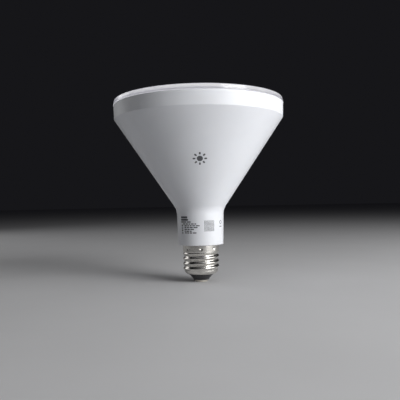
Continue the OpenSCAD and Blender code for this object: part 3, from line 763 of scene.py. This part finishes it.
def contact_profile():
    """The centre contact's section: a flat button with a shallow rivet mark, and its pin."""
    r = tip_high.x
    thick = 1.4
    pin_r = 1.2
    tip_r = 0.9
    points = [(0, 0.3), (tip_r, 0.3), (1.3, 0.2), (1.6, 0.02), (1.9, 0), (r - 1, 0)]
    points += arc((r - 1, 1), 1, -90, 0, 10)[1:]
    points += [(r, thick), (pin_r, thick), (pin_r, tip_high.z - 0.4), (tip_r, tip_high.z), (0, tip_high.z)]
    return points


contact = lathe("tip_contact", contact_profile(), 128, closed=False)
contact_paint = turned_metal("contact_metal", (0.78, 0.74, 0.66), 0.32, ring=0.1, depth=0.004)
contact.data.materials.append(contact_paint.mat)
dress(contact, "contact_metal", "centre_contact")

# ---- Wires and windings ----

WIRE_R = 0.6
WIRE_GAP = 0.05
BOARD_FACE = box_mm("driver_board")[0].y - WIRE_R - WIRE_GAP
LIVE_ROUTE = [
    (1.95, 0, 11), (1.95, -0.2, 15), (0, -1, 20), (-2.4, -1.6, 26), (-4.2, -1.8, 31),
    (-6, BOARD_FACE, 33.5), (-6, BOARD_FACE, 35),
]
NEUTRAL_ROUTE = [
    (10.8, 0, 15.5), (10.75, 0, 13), (9.3, 0, 11.3), (7.4, 0, 12.6), (6.4, 0, 17), (5.4, -0.8, 24),
    (4.2, -1.6, 30), (4, BOARD_FACE, 33), (4, BOARD_FACE, 33.8),
]


def smooth_path(route, steps):
    """A smooth curve through a route's points."""
    points = [Vector(p) for p in route]
    path = []
    for i in range(len(points) - 1):
        a, b = points[max(i - 1, 0)], points[i]
        c, d = points[i + 1], points[min(i + 2, len(points) - 1)]
        for k in range(steps):
            t = k / steps
            bent = (2 * a - 5 * b + 4 * c - d) * t * t + (3 * b - a - 3 * c + d) * t**3
            path.append((2 * b + (c - a) * t + bent) / 2)
    return path + [points[-1]]


def swept(name, path, radius_at, sides=16):
    """A closed tube along a path: radius_at(share of the path) gives its radius."""
    bm = bmesh.new()
    rings = []
    across = Vector((0, 1, 0.001))
    for i, point in enumerate(path):
        ahead = (path[min(i + 1, len(path) - 1)] - path[max(i - 1, 0)]).normalized()
        u = ahead.cross(across).normalized()
        v = ahead.cross(u).normalized()
        across = -v
        r = radius_at(i / (len(path) - 1))
        ring = []
        for k in range(sides):
            a = 2 * math.pi * k / sides
            ring.append(bm.verts.new(point + r * (math.cos(a) * u + math.sin(a) * v)))
        rings.append(ring)
    for here, there in zip(rings, rings[1:]):
        for k in range(sides):
            bm.faces.new((here[k], here[(k + 1) % sides], there[(k + 1) % sides], there[k]))
    bm.faces.new(rings[0])
    bm.faces.new(rings[-1])
    return finish_mesh(name, bm, 60)


def mains_wire(name, node, slot_name, route):
    """A wire's sleeve, a little thinner at its cut ends."""
    wire = swept(name, smooth_path(route, 10), lambda t: WIRE_R * (1 - 0.12 * (2 * t - 1) ** 40))
    wire.data.materials.append(node_paints[node].mat)
    dress(wire, slot_name, node)


def coil_wire():
    """The inductor's wire, wound to and fro around its drum in layers."""
    low, high = box_mm("inductor_coil")
    turns, layers, wire_r, steps = 11, 4, 0.2, 32
    middle = (low + high) / 2
    outer = (high.x - low.x) / 2
    start_y, run = low.y + wire_r, high.y - low.y - 2 * wire_r
    path = []
    for layer in range(layers):
        r = outer - wire_r * (2 * layer + 1)
        for i in range(turns * steps):
            a = 2 * math.pi * i / steps
            share = i / (turns * steps)
            y = start_y + run * (1 - share if layer % 2 else share)
            path.append(Vector((middle.x + r * math.cos(a), y, middle.z + r * math.sin(a))))
    wire = swept("coil_turns", path, lambda t: wire_r, 8)
    wire.data.materials.append(node_paints["inductor_coil"].mat)
    dress(wire, "copper_wire", "inductor_coil")


mains_wire("live_sleeve", "live_wire", "red_wire", LIVE_ROUTE)
mains_wire("neutral_sleeve", "neutral_wire", "black_wire", NEUTRAL_ROUTE)
coil_wire()

# ---- Prints ----

INK_PROUD = 0.035
INK_UNDER = 0.02
ICON_Z = cone_z + 33.8
LABEL_TOP = cone_z - 4.9
GREEK_H = 0.75
RING_TURN = 2 * math.pi * 0.995


def skin(z):
    """Radius of the housing's outside at height z, and how far its outward normal leans down."""
    outside = profile[skin_start:band_start]
    for (r0, z0), (r1, z1) in zip(outside, outside[1:]):
        if z0 <= z <= z1 and z1 > z0:
            lean = math.atan2(r1 - r0, z1 - z0)
            return r0 + (r1 - r0) * (z - z0) / (z1 - z0), lean
    raise ValueError(z)


def on_skin(angle, z, proud):
    """A point over the housing's outside, at an angle from the front towards the right."""
    r, lean = skin(z)
    r += proud * math.cos(lean)
    return (r * math.sin(angle), -r * math.cos(angle), z - proud * math.sin(lean))


def stamp(bm, place, outline, across, along):
    """Prints one closed film: outline(s, t) gives millimetres from place, right and up the slope."""
    angle0, z0 = place
    r0, lean0 = skin(z0)
    layers = []
    for proud in (INK_PROUD, -INK_UNDER):
        grid = []
        for i in range(across + 1):
            column = []
            for j in range(along + 1):
                u, v = outline(i / across, j / along)
                column.append(bm.verts.new(on_skin(angle0 + u / r0, z0 + v * math.cos(lean0), proud)))
            grid.append(column)
        layers.append(grid)
    for grid in layers:
        for i in range(across):
            for j in range(along):
                bm.faces.new((grid[i][j], grid[i + 1][j], grid[i + 1][j + 1], grid[i][j + 1]))
    top, under = layers
    edge = [(i, 0) for i in range(across)] + [(across, j) for j in range(along)]
    edge += [(i, along) for i in range(across, 0, -1)] + [(0, j) for j in range(along, 0, -1)]
    for (i, j), (k, m) in zip(edge, edge[1:] + edge[:1]):
        bm.faces.new((top[i][j], under[i][j], under[k][m], top[k][m]))


def bar(width, height, turn=0.0, reach=0.0, corner=2):
    """Outline of a bar, moved out by reach along its turned length. A higher corner makes squarer ends."""

    def outline(s, t):
        x = (s - 0.5) * width
        over = max(abs(x) - (width - height) / 2, 0) / (height / 2)
        y = (t - 0.5) * height * max(1 - over**corner, 0.02) ** (1 / corner)
        x += reach
        return (x * math.cos(turn) - y * math.sin(turn), x * math.sin(turn) + y * math.cos(turn))

    return outline


def disc(r):
    """Outline of a disc, mapped from a square."""

    def outline(s, t):
        x, y = 2 * s - 1, 2 * t - 1
        return (r * x * math.sqrt(1 - y * y / 2), r * y * math.sqrt(1 - x * x / 2))

    return outline


def sector(r_in, r_out, start, end):
    """Outline of part of a ring, with its angles in radians."""

    def outline(s, t):
        r, a = r_in + (r_out - r_in) * t, start + (end - start) * s
        return (r * math.sin(a), r * math.cos(a))

    return outline


def printed(name, shapes):
    """A print of many films: shapes is a list of (place, outline, across, along)."""
    bm = bmesh.new()
    for place, outline, across, along in shapes:
        stamp(bm, place, outline, across, along)
    piece = finish_mesh(name, bm)
    piece.data.materials.append(grey_ink.mat)
    return dress(piece, "grey_ink")


def brightness_icon():
    """A plain brightness symbol: a dot and eight rays."""
    place = (math.radians(0.6), ICON_Z)
    shapes = [(place, disc(2.0), 16, 16)]
    for k in range(8):
        shapes.append((place, bar(1.9, 1.15, k * math.pi / 4, 3.85), 12, 4))
    return shapes


def greeked_lines():
    """Rows of plain bars in the place of small print.

    A row is its drop below LABEL_TOP, its start and end in degrees from the front, its height and its words.
    """
    rng = random.Random(7)
    rows = [(0.4, -54, -33, 1.35, 1), (2.15, -54, -31, 1.35, 1), (3.7, -54, -24, 0.8, 2)]
    rows += [(5.1, -47, -10, GREEK_H, 5), (6.35, -42, -2, GREEK_H, 5), (7.55, -42, -7, GREEK_H, 4)]
    rows += [(8.9, -42, -16, GREEK_H, 3), (10.2, -42, -22, GREEK_H, 3), (11.4, -41, -10, GREEK_H, 4)]
    shapes = []
    for drop, start, end, height, words in rows:
        z = LABEL_TOP - drop
        r = skin(z)[0]
        gap = height * 0.7
        run = math.radians(end - start) * r - gap * (words - 1)
        shares = [rng.uniform(0.6, 1.4) for w in range(words)]
        at = math.radians(start) * r
        for share in shares:
            width = run * share / sum(shares)
            middle = (at + width / 2) / r
            shapes.append(((middle, z), bar(width, height, corner=5), 24, 2))
            at += width + gap
    for k in range(4):
        place = (math.radians(-49.5), LABEL_TOP - 6.2 - 1.75 * k)
        shapes.append((place, sector(0.4, 0.7, 0, RING_TURN), 16, 2) if k % 2 else (place, disc(0.65), 8, 8))
    return shapes


def dot_grid():
    """A plain regular grid of square dots."""
    count, pitch = 9, 0.86
    middle = (math.radians(22), LABEL_TOP - 6.65)
    r = skin(middle[1])[0]
    shapes = []
    for i in range(count):
        for j in range(count):
            u, v = (i - (count - 1) / 2) * pitch, (j - (count - 1) / 2) * pitch
            place = (middle[0] + u / r, middle[1] + v)
            shapes.append((place, bar(0.58, 0.58, corner=5), 8, 2))
    return shapes


def side_marks():
    """A small ring, and a short bar below it."""
    ring_at = (math.radians(58), LABEL_TOP - 4.3)
    bar_at = (math.radians(58), LABEL_TOP - 7.4)
    return [(ring_at, sector(0.95, 1.35, 0, RING_TURN), 32, 2), (bar_at, bar(2.6, 0.6), 12, 2)]


grey_ink = ink()
printed("brightness_icon", brightness_icon())
printed("greeked_lines", greeked_lines())
printed("dot_grid", dot_grid())
printed("side_marks", side_marks())

# ---- Studio ----

AIM = (0, 0, 0.09)
LIGHT_FROM_Z = 0.08
LIGHT_DISTANCE = 0.9
OVERHEAD_Z = 1
SPOT_RISE = 0.5
SPOT_SHARE = 0.96
FLOOR_R = 8
BACKDROP = (0.008, 0.008, 0.0095, 1)
# Each soft light: azimuth and elevation from the lamp in degrees, size in metres and power in watts
SOFT_LIGHTS = {
    "key": ((50, 20), (0.5, 0.6), 7.6),
    "key_side": ((82, 12), (0.45, 0.4), 2.0),
    "rim": ((-120, 15), (0.45, 0.5), 1.1),
}

CAMERA_PLACE = (0, -0.378, 0.0571)
CAMERA_LENS = 46.5
CAMERA_PITCH = 0.32
CAMERA_ROLL = -1.09


def area_light(name, place, size, power):
    """A soft rectangular light aimed at the lamp."""
    data = bpy.data.lights.new(name, "AREA")
    data.shape = "RECTANGLE"
    data.size, data.size_y = size
    data.energy = power
    light = bpy.data.objects.new(name, data)
    light.location = place
    light.rotation_euler = (Vector(AIM) - Vector(place)).to_track_quat("-Z", "Y").to_euler()
    bpy.context.scene.collection.objects.link(light)


def around_lamp(azimuth, elevation):
    """A point seen from the lamp, with azimuth 0 towards the camera and 90 to its right."""
    a, e = math.radians(azimuth), math.radians(elevation)
    flat = LIGHT_DISTANCE * math.cos(e)
    return (flat * math.sin(a), -flat * math.cos(a), LIGHT_FROM_Z + LIGHT_DISTANCE * math.sin(e))


def lens_spot():
    """A weak spot above the lens, with a cone that stays inside its face."""
    data = bpy.data.lights.new("lens_spot", "SPOT")
    data.energy = 3
    data.spot_size = 2 * math.atan(SPOT_SHARE * face_r * MM / SPOT_RISE)
    data.spot_blend = 0.1
    data.shadow_soft_size = 0.002
    spot = bpy.data.objects.new("lens_spot", data)
    spot.location = (0, 0, lens_high.z * MM + SPOT_RISE)
    bpy.context.scene.collection.objects.link(spot)


def pale_floor():
    """A plain pale floor under the lamp."""
    bm = bmesh.new()
    bmesh.ops.create_circle(bm, cap_ends=True, segments=96, radius=FLOOR_R)
    mesh = bpy.data.meshes.new("floor")
    bm.to_mesh(mesh)
    bm.free()
    floor = bpy.data.objects.new("floor", mesh)
    bpy.context.scene.collection.objects.link(floor)
    p = Paint("floor", (0.62, 0.62, 0.63), 0.7)
    p.paint(p.tone(p.noise(60, 3), 0.015))
    mesh.materials.append(p.mat)


def studio():
    """Wide soft light from the right, weak lights behind and above, a dark backdrop and the floor."""
    for name, (direction, size, power) in SOFT_LIGHTS.items():
        area_light(name, around_lamp(*direction), size, power)
    area_light("overhead", (0, 0, OVERHEAD_Z), (0.8, 0.8), 1)
    lens_spot()
    world = bpy.data.worlds.new("studio")
    world.use_nodes = True
    world.node_tree.nodes["Background"].inputs[0].default_value = BACKDROP
    bpy.context.scene.world = world
    pale_floor()


def camera():
    """The photograph's viewing angle: just below the level of the lens, from the side of the prints."""
    data = bpy.data.cameras.new("camera")
    data.sensor_width = 36
    data.lens = CAMERA_LENS
    view = bpy.data.objects.new("camera", data)
    pitch, roll = math.radians(CAMERA_PITCH), math.radians(CAMERA_ROLL)
    view.matrix_world = (
        Matrix.Translation(CAMERA_PLACE)
        @ Matrix.Rotation(math.pi / 2 + pitch, 4, "X")
        @ Matrix.Rotation(roll, 4, "Z")
    )
    bpy.context.scene.collection.objects.link(view)
    bpy.context.scene.camera = view


studio()
camera()
bpy.context.scene.view_settings.view_transform = "Standard"
